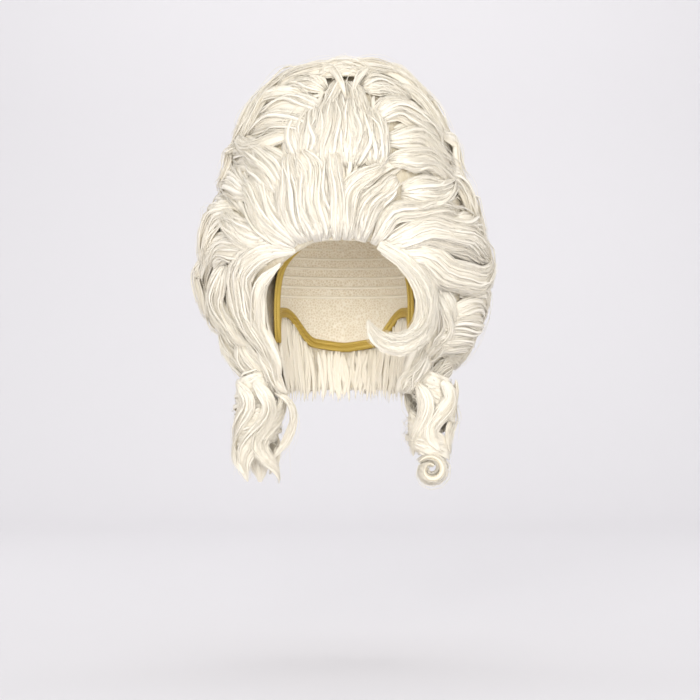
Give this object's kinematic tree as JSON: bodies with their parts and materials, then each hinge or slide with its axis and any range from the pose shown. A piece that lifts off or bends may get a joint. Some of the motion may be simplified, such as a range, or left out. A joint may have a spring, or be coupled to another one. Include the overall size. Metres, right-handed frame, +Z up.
{
  "type": "powdered wig",
  "caption": "Tall powdered wig: locks swept up over a backcombed core and a net cap bound in gold tape, with side waves, a lock hooked over one cheek and hanging ringlets.",
  "frame": {"origin": "inside of the cap's crown, where the top of a head touches it", "axes": "+Z up, the face looks along -Y, +X to the right of someone who looks at the face"},
  "size_m": [0.3299, 0.2919, 0.4609],
  "materials": {
    "powdered_hair": "matt, powdered, near-white ivory hair",
    "backcombed_hair": "matt, fuzzy, warm beige hair",
    "cotton_net": "matt golden beige net",
    "gold_tape": "gold braid with a soft sheen"
  },
  "bodies": {
    "root": {"wig_cap": "cotton_net", "cap_tape": "gold_tape", "hair_core_top": "backcombed_hair", "hair_core_back": "backcombed_hair", "hair_core_left": "backcombed_hair", "hair_core_right": "backcombed_hair", "hairline_fan": "powdered_hair", "left_front_sweep": "powdered_hair", "right_front_sweep": "powdered_hair", "cheek_curl": "powdered_hair", "left_temple_lock": "powdered_hair", "right_temple_bowl": "powdered_hair", "right_barrel_curl": "powdered_hair", "left_ringlet": "powdered_hair", "right_ringlet": "powdered_hair", "right_crown_sweep": "powdered_hair", "crown_curls": "powdered_hair", "left_upper_waves": "powdered_hair", "left_side_waves": "powdered_hair", "right_upper_waves": "powdered_hair", "right_side_waves": "powdered_hair", "left_back_waves": "powdered_hair", "right_back_waves": "powdered_hair", "back_waves": "powdered_hair", "nape_curls": "powdered_hair", "crown_back_curls": "powdered_hair"}
  },
  "joints": []
}
